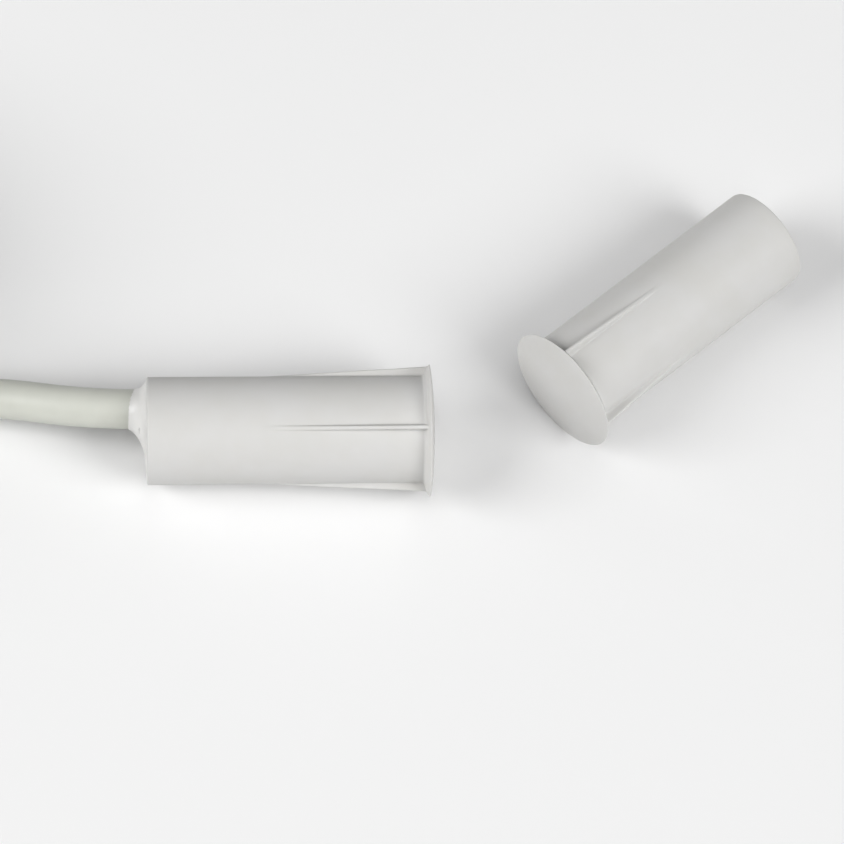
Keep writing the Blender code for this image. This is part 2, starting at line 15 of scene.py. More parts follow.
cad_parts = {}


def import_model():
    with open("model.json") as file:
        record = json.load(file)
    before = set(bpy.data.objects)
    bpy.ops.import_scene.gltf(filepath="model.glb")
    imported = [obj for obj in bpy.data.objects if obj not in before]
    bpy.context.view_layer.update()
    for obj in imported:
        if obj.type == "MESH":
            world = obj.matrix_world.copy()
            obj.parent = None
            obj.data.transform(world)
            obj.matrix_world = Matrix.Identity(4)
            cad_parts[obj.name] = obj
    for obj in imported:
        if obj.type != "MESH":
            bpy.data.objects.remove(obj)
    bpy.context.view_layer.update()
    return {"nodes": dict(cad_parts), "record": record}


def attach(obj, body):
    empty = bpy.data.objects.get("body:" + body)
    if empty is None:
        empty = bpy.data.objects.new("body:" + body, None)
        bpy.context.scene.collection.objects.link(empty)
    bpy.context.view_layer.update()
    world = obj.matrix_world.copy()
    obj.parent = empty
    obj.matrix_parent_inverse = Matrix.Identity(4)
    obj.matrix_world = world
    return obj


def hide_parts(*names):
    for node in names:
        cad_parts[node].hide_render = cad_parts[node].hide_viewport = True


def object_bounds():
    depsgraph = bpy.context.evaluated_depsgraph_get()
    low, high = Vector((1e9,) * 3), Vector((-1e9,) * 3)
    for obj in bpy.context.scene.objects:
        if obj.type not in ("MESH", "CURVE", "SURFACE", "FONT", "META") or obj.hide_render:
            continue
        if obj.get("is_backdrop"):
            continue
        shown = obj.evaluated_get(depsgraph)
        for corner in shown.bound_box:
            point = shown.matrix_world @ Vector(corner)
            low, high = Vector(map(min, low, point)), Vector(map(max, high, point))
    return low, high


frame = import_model()
scene = bpy.context.scene
MM = 0.001

# ------------------------------------------------------------------ sizes
SEAT_Z = 24.63
BORE_DEPTH = 24.0
FLANGE_R = 5.85
FLANGE_RIM_Z = 0.43
RIM_Z = 0.37                        # height of the widest circle above the seat
SW_DOME, MG_DOME = (0.42, 0.80), (0.82, 0.92)   # rise of the domed face above that circle, and its power
SW_RIBS = [(14.0, 0.0), (10.2, 0.22), (6.7, 0.43), (3.1, 0.62), (0.0, 0.80)]
MG_RIBS = [(11.2, 0.0), (8.4, 0.17), (5.8, 0.38), (3.0, 0.60), (0.0, 0.80)]

SW_R_REAR, SW_R_SEAT, SW_BORE_R = 4.775, 4.715, 4.08
SW_FLANGE_SHIFT = 0.14
CABLE_R, CABLE_OFF, JACKET_IN = 1.765, 1.98, 4.5
MG_R_REAR, MG_R_SEAT, MG_BORE_R = 4.67, 4.65, 4.00

CENTRE = (3.9389, 5.2743)
SW_REAR, SW_YAW, SW_ROLL = (-24.809, -3.660), 0.0, 155.3
MG_REAR, MG_YAW, MG_ROLL = (30.987, 16.714), 220.79, 79.9

HANK_NEAR_X, HANK_RUN, HANK_Y = -76.6, 42.0, 4.6
HANK_PITCH, HANK_LAY = 3.60, 3.56
HANK_R = (10.6, 14.2, 17.8)
HANK_PINCH = 6.6


def half_frame(rear, yaw, roll, r_rear, shift):
    """4x4 matrix in mm: Z from the rear rim to the flange, X the cable or first
    rib side, at rest on the rims of both ends."""
    ro = math.radians(roll)
    tip = math.atan2(FLANGE_R + shift * math.sin(ro) - r_rear, SEAT_Z + FLANGE_RIM_Z)
    ya = math.radians(yaw)
    a = np.array([math.cos(tip) * math.cos(ya), math.cos(tip) * math.sin(ya), math.sin(tip)])
    h = np.cross(a, [0, 0, 1])
    h /= np.linalg.norm(h)
    w = np.cross(h, a)
    x = math.cos(ro) * h + math.sin(ro) * w
    y = np.cross(a, x)
    m = np.eye(4)
    m[:3, 0], m[:3, 1], m[:3, 2] = x, y, a
    m[:3, 3] = (rear[0] - CENTRE[0], rear[1] - CENTRE[1], r_rear * math.cos(tip))
    return m


SW = half_frame(SW_REAR, SW_YAW, SW_ROLL, SW_R_REAR, SW_FLANGE_SHIFT)
MG = half_frame(MG_REAR, MG_YAW, MG_ROLL, MG_R_REAR, 0.0)


def world(local, m):
    return tuple(m[:3, :3] @ np.array(local, float) + m[:3, 3])


# ------------------------------------------------------------------ camera
cam_data = bpy.data.cameras.new("camera")
cam = bpy.data.objects.new("camera", cam_data)
scene.collection.objects.link(cam)
cam_data.sensor_fit = "HORIZONTAL"
cam_data.sensor_width = 36.0
cam_data.lens = 334.60
cam_data.clip_start, cam_data.clip_end = 0.01, 20.0
c_right = Vector((0.99692, -0.02358, 0.07474))
c_back = Vector((-0.07735, -0.44921, 0.89007)).normalized()
c_right = (c_right - c_right.dot(c_back) * c_back).normalized()
c_up = c_back.cross(c_right)
cam.matrix_world = Matrix((
    (c_right.x, c_up.x, c_back.x, -0.0580840),
    (c_right.y, c_up.y, c_back.y, -0.3197226),
    (c_right.z, c_up.z, c_back.z, 0.6230494),
    (0, 0, 0, 1)))
scene.camera = cam


# ------------------------------------------------------------------ materials
def noise(nt, scale, detail, rough, vector):
    n = nt.nodes.new("ShaderNodeTexNoise")
    n.inputs["Scale"].default_value = scale
    n.inputs["Detail"].default_value = detail
    n.inputs["Roughness"].default_value = rough
    nt.links.new(vector, n.inputs["Vector"])
    return n


def ranged(nt, value, lo, hi, out_lo, out_hi):
    r = nt.nodes.new("ShaderNodeMapRange")
    r.inputs["From Min"].default_value = lo
    r.inputs["From Max"].default_value = hi
    r.inputs["To Min"].default_value = out_lo
    r.inputs["To Max"].default_value = out_hi
    nt.links.new(value, r.inputs["Value"])
    return r.outputs["Result"]


def mixed(nt, factor, a, b):
    m = nt.nodes.new("ShaderNodeMix")
    m.data_type = "RGBA"
    nt.links.new(factor, m.inputs["Factor"])
    for key, v in (("A", a), ("B", b)):
        if isinstance(v, tuple):
            m.inputs[key].default_value = (*v, 1.0)
        else:
            nt.links.new(v, m.inputs[key])
    return m.outputs["Result"]


def spot(nt, coord, place_mm, radius_mm, soft=0.5):
    """1 at a point of the surface, fading to 0 at the radius."""
    d = nt.nodes.new("ShaderNodeVectorMath")
    d.operation = "DISTANCE"
    nt.links.new(coord, d.inputs[0])
    d.inputs[1].default_value = [c * MM for c in place_mm]
    return ranged(nt, d.outputs["Value"], radius_mm * MM * soft, radius_mm * MM, 1.0, 0.0)


def finish_material(name, base, rough, metallic=0.0, alpha=1.0, cloud=0.03, cloud_mm=4.0, grain_mm=0.25,
                    bump=0.15, bump_um=4.0, rough_var=0.06, sss=0.0, ior=1.46, spec=0.5, coat=0.0,
                    transmission=0.0, marks=(), tint=None):
    mat = bpy.data.materials.new(name)
    mat.use_nodes = True
    nt = mat.node_tree
    bsdf = nt.nodes["Principled BSDF"]
    bsdf.inputs["Metallic"].default_value = metallic
    bsdf.inputs["Alpha"].default_value = alpha
    bsdf.inputs["IOR"].default_value = ior
    bsdf.inputs["Specular IOR Level"].default_value = spec
    bsdf.inputs["Coat Weight"].default_value = coat
    bsdf.inputs["Coat Roughness"].default_value = 0.2
    bsdf.inputs["Transmission Weight"].default_value = transmission
    if sss > 0.0:
        bsdf.inputs["Subsurface Weight"].default_value = sss
        bsdf.inputs["Subsurface Radius"].default_value = (1.0, 0.95, 0.85)
        bsdf.inputs["Subsurface Scale"].default_value = 0.0006
    tc = nt.nodes.new("ShaderNodeTexCoord")
    co = tc.outputs["Object"]
    big = noise(nt, 1000.0 / cloud_mm, 3.0, 0.5, co)
    fine = noise(nt, 1000.0 / grain_mm, 2.0, 0.5, co)
    lo = tuple(c * (1.0 - cloud) for c in base)
    if tint is not None:
        lo = tuple(c * t for c, t in zip(lo, tint))
    hi = tuple(min(1.0, c * (1.0 + 0.4 * cloud)) for c in base)
    f = ranged(nt, big.outputs["Fac"], 0.35, 0.65, 0.0, 1.0)
    colour = mixed(nt, f, lo, hi)
    for place, radius, dark, soft in marks:
        s = spot(nt, co, place, radius, soft)
        dark_base = tuple(c * dark for c in base)
        colour = mixed(nt, s, colour, dark_base)
    nt.links.new(colour, bsdf.inputs["Base Color"])
    r = ranged(nt, fine.outputs["Fac"], 0.3, 0.7, rough - rough_var, rough + rough_var)
    nt.links.new(r, bsdf.inputs["Roughness"])
    bp = nt.nodes.new("ShaderNodeBump")
    bp.inputs["Strength"].default_value = bump
    bp.inputs["Distance"].default_value = bump_um * 1e-6
    add = nt.nodes.new("ShaderNodeMath")
    add.operation = "MULTIPLY_ADD"
    nt.links.new(big.outputs["Fac"], add.inputs[0])
    add.inputs[1].default_value = 2.0
    nt.links.new(fine.outputs["Fac"], add.inputs[2])
    nt.links.new(add.outputs["Value"], bp.inputs["Height"])
    nt.links.new(bp.outputs["Normal"], bsdf.inputs["Normal"])
    return mat


M = {
    "white_abs": finish_material("white_abs", (0.63, 0.626, 0.615), 0.53, cloud=0.02, sss=0.15, spec=0.35,
                                 tint=(1.0, 0.998, 0.985)),
    "potting_resin": finish_material("potting_resin", (0.74, 0.735, 0.72), 0.34, cloud=0.03, cloud_mm=1.6, sss=0.15,
                                     marks=(((-29.47, -9.60, 6.56), 0.17, 0.70, 0.2),
                                            ((-29.49, -9.66, 6.36), 0.19, 0.66, 0.2),
                                            ((-29.47, -9.77, 6.12), 0.16, 0.74, 0.2))),
    "cable_jacket": finish_material("cable_jacket", (0.585, 0.595, 0.54), 0.42, cloud=0.04, cloud_mm=3.0,
                                    grain_mm=0.35, sss=0.1),
    "tie_nylon": finish_material("tie_nylon", (0.72, 0.71, 0.67), 0.40, cloud=0.04, sss=0.1),
    "reed_glass": finish_material("reed_glass", (0.62, 0.80, 0.66), 0.06, alpha=0.45, ior=1.5, bump=0.05),
    "nickel_iron": finish_material("nickel_iron", (0.62, 0.60, 0.56), 0.30, metallic=1.0, grain_mm=0.08),
    "tinned_copper": finish_material("tinned_copper", (0.72, 0.72, 0.70), 0.28, metallic=1.0, grain_mm=0.12,
                                     bump=0.5, bump_um=8.0),
    "solder": finish_material("solder", (0.65, 0.65, 0.66), 0.24, metallic=1.0, grain_mm=0.15),
    "magnet": finish_material("magnet", (0.30, 0.30, 0.31), 0.36, metallic=1.0, grain_mm=0.1),
    "core_white": finish_material("core_white", (0.76, 0.76, 0.74), 0.38, grain_mm=0.2),
    "core_brown": finish_material("core_brown", (0.16, 0.075, 0.035), 0.38, grain_mm=0.2),
    "core_green": finish_material("core_green", (0.03, 0.26, 0.08), 0.38, grain_mm=0.2),
    "core_yellow": finish_material("core_yellow", (0.78, 0.56, 0.03), 0.38, grain_mm=0.2),
}

NODE_SLOTS = {s["node"]: s["material_slot"] for s in frame["record"]["subparts"]}
for node, ob in frame["nodes"].items():
    ob.data.materials.clear()
    ob.data.materials.append(M[NODE_SLOTS[node]])


def set_finish(ob, slot):
    ob.data.materials.clear()
    ob.data.materials.append(M[slot])
    return ob


# ------------------------------------------------------------------ helpers
def mesh_piece(name, verts, faces, angle=40.0):
    """A smooth-shaded mesh from points in mm."""
    me = bpy.data.meshes.new(name)
    me.from_pydata([tuple(c * MM for c in v) for v in verts], [], [tuple(f) for f in faces])
    bm = bmesh.new()
    bm.from_mesh(me)
    bmesh.ops.recalc_face_normals(bm, faces=bm.faces)
    bm.to_mesh(me)
    bm.free()
    me.shade_smooth()
    me.set_sharp_from_angle(angle=math.radians(angle))
    ob = bpy.data.objects.new(name, me)
    scene.collection.objects.link(ob)
    return ob


def rings_to_faces(n_rings, n, first_pole, last_pole):
    """Quads between closed rings of n points, with a pole vertex before the
    first ring and one after the last."""
    faces = []
    base = 1 if first_pole else 0
    for i in range(n_rings - 1):
        a, b = base + i * n, base + (i + 1) * n
        for k in range(n):
            k2 = (k + 1) % n
            faces.append((a + k, a + k2, b + k2, b + k))
    if first_pole:
        for k in range(n):
            faces.append((0, base + (k + 1) % n, base + k))
    if last_pole:
        last = base + (n_rings - 1) * n
        pole = last + n
        for k in range(n):
            faces.append((last + k, last + (k + 1) % n, pole))
    return faces


def smooth_path(points, count):
    """Points evenly spaced along a natural cubic spline through the points."""
    P = np.array(points, dtype=float)
    d = np.linalg.norm(np.diff(P, axis=0), axis=1)
    t = np.concatenate([[0.0], np.cumsum(np.sqrt(d))])
    n = len(P)
    h = np.diff(t)
    A = np.zeros((n, n))
    b = np.zeros((n, P.shape[1]))
    A[0, 0] = A[-1, -1] = 1.0
    for i in range(1, n - 1):
        A[i, i - 1] = h[i - 1]
        A[i, i] = 2.0 * (h[i - 1] + h[i])
        A[i, i + 1] = h[i]
        b[i] = 3.0 * ((P[i + 1] - P[i]) / h[i] - (P[i] - P[i - 1]) / h[i - 1])
    c = np.linalg.solve(A, b)
    out = []
    for s in np.linspace(0.0, t[-1], 800):
        i = min(int(np.searchsorted(t, s, side="right")) - 1, n - 2)
        u = s - t[i]
        bb = (P[i + 1] - P[i]) / h[i] - h[i] * (2.0 * c[i] + c[i + 1]) / 3.0
        dd = (c[i + 1] - c[i]) / (3.0 * h[i])
        out.append(P[i] + bb * u + c[i] * u * u + dd * u ** 3)
    Q = np.array(out)
    L = np.concatenate([[0.0], np.cumsum(np.linalg.norm(np.diff(Q, axis=0), axis=1))])
    s = np.linspace(0.0, L[-1], count)
    return [tuple(float(np.interp(v, L, Q[:, k])) for k in range(3)) for v in s]


def wire(name, points, radius, res):
    cu = bpy.data.curves.new(name, "CURVE")
    cu.dimensions = "3D"
    sp = cu.splines.new("POLY")
    sp.points.add(len(points) - 1)
    for p, co in zip(sp.points, points):
        p.co = (co[0] * MM, co[1] * MM, co[2] * MM, 1.0)
    sp.use_smooth = True
    cu.bevel_depth = radius * MM
    cu.bevel_resolution = res
    cu.use_fill_caps = True
    cu.fill_mode = "FULL"
    cu.twist_mode = "MINIMUM"
    ob = bpy.data.objects.new(name, cu)
    scene.collection.objects.link(ob)
    return ob


def smoothstep(x):
    x = min(1.0, max(0.0, x))
    return x * x * (3.0 - 2.0 * x)


# ------------------------------------------------------------------ the cable
inner = world((CABLE_OFF, 0, JACKET_IN), SW)
rear_pt = world((CABLE_OFF, 0, 0.0), SW)
exit_pt = world((CABLE_OFF, 0, -2.2), SW)
ground = CABLE_R + 0.045
far_x = HANK_NEAR_X - HANK_RUN
mid_x = HANK_NEAR_X - HANK_RUN / 2
layer_z = [ground + k * HANK_LAY for k in range(4)]

lead_route = [inner, rear_pt, exit_pt] + [
    (exit_pt[0] + dx, exit_pt[1] + dy, z) for dx, dy, z in (
        (-4.6, 0.50, exit_pt[2] - 0.55), (-9.4, 1.57, exit_pt[2] - 1.60), (-14.6, 2.40, ground + 0.75),
        (-20.0, 2.05, ground + 0.05), (-26.0, 0.30, ground + 0.01), (-32.0, -2.35, ground),
        (-38.5, -5.00, ground))] + [(HANK_NEAR_X, HANK_Y - HANK_R[-1], ground)]
lead = smooth_path(lead_route, 72)


def run_y(r, x):
    """Distance of a run from the hank's middle line at x."""
    u = abs(x - mid_x) / (HANK_RUN / 2)
    return r - HANK_PINCH * (1.0 + math.cos(math.pi * min(1.0, u))) / 2


# the turns' places, as (layer, nesting), in the order they are folded
PLACES = [(0, 2), (0, 1), (0, 0), (1, 0), (1, 1), (1, 2), (2, 2), (2, 1), (2, 0), (3, 0), (3, 1), (3, 2)]
# where in its turn each one moves over to the next place: the last ones first
MOVE_WIDTH = 0.30
MOVE_FROM = [0.66, 0.66, 0.555, 0.45, 0.45, 0.345, 0.24, 0.24, 0.135, 0.03, 0.03]
CUTS = [0.0, 0.2425, 0.5, 0.7425, 1.0]         # run, far fold, run, near fold
rng = np.random.default_rng(21)
reach = rng.uniform(0.10, 0.52, (4, 2))         # each layer's inner loops turn back sooner


def on_run(r, x, side):
    """A run is offset sideways from the middle one, so the runs stay a pitch apart."""
    u = (x - mid_x) / (HANK_RUN / 2)
    m = HANK_PINCH * math.pi / HANK_RUN * math.sin(math.pi * u)
    k = (r - HANK_R[1]) / math.hypot(1.0, m)
    return x - m * k, HANK_Y + side * (run_y(HANK_R[1], x) + k)


def on_hank(T):
    """Point of the cable after T turns."""
    n = min(int(T), 10)
    phi = T - n
    s = smoothstep((phi - MOVE_FROM[n]) / MOVE_WIDTH)
    (l0, k0), (l1, k1) = PLACES[n], PLACES[n + 1]
    r = HANK_R[k0] + (HANK_R[k1] - HANK_R[k0]) * s
    z = layer_z[l0] + (layer_z[l1] - layer_z[l0]) * s
    short = (HANK_R[2] - r) / HANK_PITCH * (reach[l0] + (reach[l1] - reach[l0]) * s)
    near, far = HANK_NEAR_X - short[1], far_x + short[0]
    if phi < CUTS[1]:
        x, y = on_run(r, near + (far - near) * phi / CUTS[1], -1.0)
    elif phi < CUTS[2]:
        t = math.pi * (phi - CUTS[1]) / (CUTS[2] - CUTS[1])
        x, y = far - r * math.sin(t), HANK_Y - r * math.cos(t)
    elif phi < CUTS[3]:
        x, y = on_run(r, far + (near - far) * (phi - CUTS[2]) / (CUTS[3] - CUTS[2]), 1.0)
    else:
        t = math.pi * (phi - CUTS[3]) / (CUTS[4] - CUTS[3])
        x, y = near + r * math.sin(t), HANK_Y + r * math.cos(t)
    # the tie's strap lies under the runs
    z += 0.93 * math.exp(-((x - mid_x) / 7.0) ** 2)
    return x, y, z


TAIL_FROM = 10.0 + CUTS[3]
hank_pts = np.array([on_hank(T) for T in np.arange(0.012, TAIL_FROM + 0.001, 1 / 120)])
for k in range(3):
    hank_pts[1:-1] = 0.25 * hank_pts[:-2] + 0.5 * hank_pts[1:-1] + 0.25 * hank_pts[2:]
hank_pts = [tuple(q) for q in hank_pts.tolist()]
# the last loop climbs over its neighbour and ends in the groove on top
tail_pts = []
for k in range(1, 31):
    f = k / 30
    t = math.pi * f
    lean = math.radians(120.5) * smoothstep(f * 1.12)
    r = HANK_R[1] + 3.6 * math.cos(lean)
    z = layer_z[3] + 3.58 * math.sin(lean)
    tail_pts.append((HANK_NEAR_X + r * math.sin(t), HANK_Y + r * math.cos(t), z))
x1, y1, z1 = tail_pts[-1]
tail_pts += [(x1 - 0.35, y1 + 0.002, z1), (x1 - 0.7, y1 + 0.004, z1)]
cable_pts = lead + hank_pts + tail_pts
cable = wire("cable", cable_pts, CABLE_R, 10)
set_finish(cable, "cable_jacket")
P = np.array(cable_pts)

# four stripped cores with tinned tips, lying on the hank's top
end_pieces = []
end = P[-1]
rc_end = 0.55
low = layer_z[3] + CABLE_R + rc_end + 0.02
for colour, dy, dz, to_y in (("white", 0.72, 0.72, 8.6), ("brown", 0.72, -0.72, 6.2),
                             ("green", -0.72, -0.72, 3.8), ("yellow", -0.72, 0.72, 1.2)):
    s = end + np.array([-0.45, dy, dz])
    route = [tuple(s), (s[0] - 1.8, s[1] + 0.10 * to_y, s[2] - 0.10),
             (s[0] - 5.2, s[1] + 0.48 * to_y, low + (0.50 if dz > 0 else 0.04)),
             (s[0] - 8.6, s[1] + 0.83 * to_y, low + 0.03), (s[0] - 11.8, s[1] + to_y, low + 0.22)]
    pts = [(end[0] + 0.8, s[1], s[2])] + smooth_path(route, 36)
    core = wire("core_end_" + colour, pts, rc_end, 8)
    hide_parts("end_core_" + colour)
    set_finish(core, "core_" + colour)
    p1, p0 = np.array(pts[-1]), np.array(pts[-2])
    u = (p1 - p0) / np.linalg.norm(p1 - p0)
    # seven tinned strands, slightly twisted
    side = np.cross(u, [0, 0, 1.0])
    side /= np.linalg.norm(side)
    up = np.cross(side, u)
    verts, faces = [], []
    n_s, n_r = 24, 8
    for k in range(7):
        out = 0.0 if k == 6 else 0.205
        verts_from = len(verts)
        a0 = 2 * math.pi * k / 6
        verts.append(p1 - u * 0.92 + (side * math.cos(a0) + up * math.sin(a0)) * out)
        for i in range(n_s):
            f = i / (n_s - 1)
            ang = a0 + 1.9 * f
            c = p1 + u * (5.1 * f - 0.9) + (side * math.cos(ang) + up * math.sin(ang)) * out * (1.0 - 0.10 * f)
            rad = 0.105 * (1.0 if f < 0.97 else 0.75)
            for j in range(n_r):
                b_ = 2 * math.pi * j / n_r
                verts.append(c + (side * math.cos(b_) + up * math.sin(b_)) * rad)
        ang = a0 + 1.9
        verts.append(p1 + u * 4.24 + (side * math.cos(ang) + up * math.sin(ang)) * out * 0.9)
        faces += [tuple(verts_from + i for i in f) for f in rings_to_faces(n_s, n_r, True, True)]
    strand = mesh_piece("strands_" + colour, verts, faces, 60)
    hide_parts("end_tip_" + colour)
    set_finish(strand, "tinned_copper")
    end_pieces += [core, strand]

# ------------------------------------------------------------------ the hank's tie
# hull of the cable's sections near the middle, in (y, z)
near = P[(np.abs(P[:, 0] - mid_x) < 1.6) & (P[:, 0] < -60.0)]
circle_pts = [(y + (CABLE_R + 0.01) * math.cos(2 * math.pi * k / 48), z + (CABLE_R + 0.01) * math.sin(2 * math.pi * k / 48))
              for _, y, z in near for k in range(48)]


def hull(points):
    pts = sorted(set((round(a, 5), round(b, 5)) for a, b in points))

    def chain(seq):
        out = []
        for p in seq:
            while len(out) > 1 and ((out[-1][0] - out[-2][0]) * (p[1] - out[-2][1])
                                    - (out[-1][1] - out[-2][1]) * (p[0] - out[-2][0])) <= 0:
                out.pop()
            out.append(p)
        return out
    a, b = chain(pts), chain(list(reversed(pts)))
    return np.array(a[:-1] + b[:-1])


def resample_closed(Q, n):
    Q = np.vstack([Q, Q[:1]])
    L = np.concatenate([[0.0], np.cumsum(np.linalg.norm(np.diff(Q, axis=0), axis=1))])
    s = np.linspace(0.0, L[-1], n, endpoint=False)
    return np.stack([np.interp(s, L, Q[:, 0]), np.interp(s, L, Q[:, 1])], 1)


loop = resample_closed(hull(circle_pts), 150)
tangent = np.roll(loop, -1, 0) - np.roll(loop, 1, 0)
tangent /= np.linalg.norm(tangent, axis=1)[:, None]
normal = np.stack([tangent[:, 1], -tangent[:, 0]], 1)
for _ in range(3):
    normal = np.roll(normal, 1, 0) + 2 * normal + np.roll(normal, -1, 0)
    normal /= np.linalg.norm(normal, axis=1)[:, None]
TIE_T = 0.72
section = [(-1.25, 0.08), (-1.13, 0.0), (1.13, 0.0), (1.25, 0.08), (1.25, 0.60), (1.15, TIE_T), (0.85, TIE_T),
           (0.80, 0.62), (-0.80, 0.62), (-0.85, TIE_T), (-1.15, TIE_T), (-1.25, 0.60)]
verts, faces = [], []
ns = len(section)
for i in range(len(loop)):
    tooth = 0.10 if i % 2 else 0.0
    for j, (w_, t_) in enumerate(section):
        tt = t_ + (tooth if j in (7, 8) else 0.0)
        q = loop[i] + normal[i] * (tt + 0.02)
        verts.append((mid_x + w_, q[0], q[1]))
for i in range(len(loop)):
    i2 = (i + 1) % len(loop)
    for j in range(ns):
        j2 = (j + 1) % ns
        faces.append((i * ns + j, i * ns + j2, i2 * ns + j2, i2 * ns + j))
strap = mesh_piece("hank_tie_strap", verts, faces, 35)
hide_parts("hank_tie")
set_finish(strap, "tie_nylon")

# the tie's head on the +Y side, and the cut end of the strap above it
hy = float(loop[:, 0].max())
head_me = bpy.data.meshes.new("hank_tie_head")
bm = bmesh.new()
bmesh.ops.create_cube(bm, size=1.0)
for v in bm.verts:
    taper = 0.86 if v.co.y > 0 else 1.0
    v.co = Vector((v.co.x * 4.0 * taper, v.co.y * 2.9, v.co.z * 4.1 * taper))
bmesh.ops.bevel(bm, geom=list(bm.edges), offset=0.38, segments=4, profile=0.6, affect="EDGES")
# the slot that the strap leaves through
top = max(bm.faces, key=lambda f: f.calc_center_median().z)
bmesh.ops.inset_individual(bm, faces=[top], thickness=0.55, depth=0.0)
bmesh.ops.translate(bm, verts=list(top.verts), vec=(0.0, 0.0, -0.9))
bmesh.ops.scale(bm, vec=(MM, MM, MM), verts=bm.verts)
bmesh.ops.translate(bm, verts=bm.verts, vec=(mid_x * MM, (hy + 1.30) * MM, 7.6 * MM))
bm.to_mesh(head_me)
bm.free()
head_me.shade_smooth()
head_me.set_sharp_from_angle(angle=math.radians(40))
head = bpy.data.objects.new("hank_tie_head", head_me)
scene.collection.objects.link(head)
set_finish(head, "tie_nylon")

verts, faces = [], []
stub = ((1.35, 5.8), (1.36, 8.2), (1.42, 9.8), (1.62, 11.2), (1.95, 12.4))
for dy, z in stub:
    for sy, sx in ((-0.36, -1.2), (-0.36, 1.2), (0.36, 1.2), (0.36, -1.2)):
        verts.append((mid_x + sx, hy + dy + sy, z))
for i in range(len(stub) - 1):
    for j in range(4):
        j2 = (j + 1) % 4
        faces.append((i * 4 + j, i * 4 + j2, i * 4 + 4 + j2, i * 4 + 4 + j))
faces += [(3, 2, 1, 0), tuple(len(verts) - 4 + j for j in range(4))]
stub_ob = mesh_piece("hank_tie_end", verts, faces, 30)
bv = stub_ob.modifiers.new("edge", "BEVEL")
bv.width, bv.segments, bv.limit_method = 0.12 * MM, 2, "ANGLE"
set_finish(stub_ob, "tie_nylon")
tie_pieces = [strap, head, stub_ob]

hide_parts("cable_lead", "cable_hank", "cable_tail")
for ob in [cable] + end_pieces + tie_pieces:
    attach(ob, "root")


# ------------------------------------------------------------------ the housings
def rib_height(s, profile):
    """Rib height against the distance behind the flange's seat, smoothed."""
    xs = np.array([p[0] for p in profile][::-1])
    ys = np.array([p[1] for p in profile][::-1])
    w = np.linspace(-1.2, 1.2, 9)
    k = np.exp(-(w / 0.7) ** 2)
    s2 = np.abs(s + w)
    v = np.interp(s2, xs, ys, right=0.0)
    return float((v * k).sum() / k.sum()) if s > 0.4 else float(np.interp(s, xs, ys))


RIB_T = [0.0, 0.061, 0.099, 0.129, 0.152, 0.171, 0.188, 0.205, 0.228, 0.258, 0.296, 0.35]
RIB_F = [1.0, 0.99, 0.965, 0.92, 0.84, 0.71, 0.53, 0.34, 0.18, 0.08, 0.02, 0.0]


def z_under(d):
    """Underside of the flange: a shallow cone out from the barrel, then a steeper one up to the rim."""
    if d < 5.34:
        return 0.31 * (d - 5.34)
    if d < 5.48:
        u = (d - 5.34) / 0.14
        return 0.14 * (0.31 * u + (0.76 - 0.31) * u * u / 2)
    return 0.14 * (0.31 + 0.76) / 2 + 0.76 * (d - 5.48)


